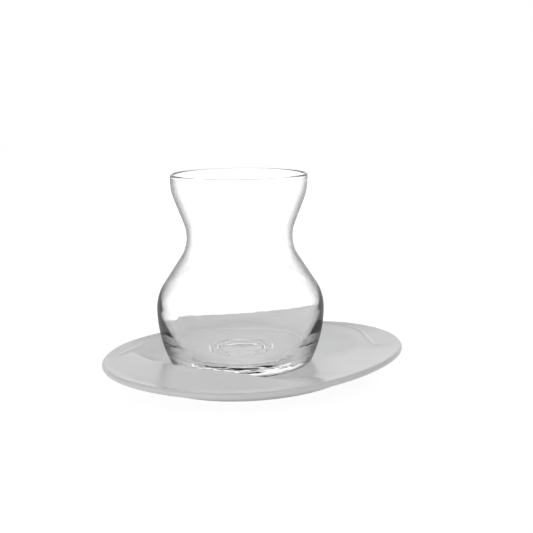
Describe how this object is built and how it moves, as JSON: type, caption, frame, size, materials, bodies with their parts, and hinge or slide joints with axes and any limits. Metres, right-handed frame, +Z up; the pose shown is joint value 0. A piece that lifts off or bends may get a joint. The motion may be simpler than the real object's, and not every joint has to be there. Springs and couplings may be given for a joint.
{
  "type": "turkish tea glass with saucer",
  "caption": "Waisted clear tea glass, empty, standing off-centre in the sunken well of an oval white porcelain saucer.",
  "frame": {"origin": "middle of the saucer's foot, on the surface it stands on", "axes": "+Z up through the mouth of the glass, +X along the saucer's long axis, +Y across it towards the side where the glass stands"},
  "size_m": [0.139, 0.11, 0.0889],
  "materials": {
    "glass": "fire polished, clear",
    "porcelain": "glossy clear glaze"
  },
  "bodies": {
    "root": {"glass": "glass", "saucer": "porcelain"}
  },
  "joints": []
}
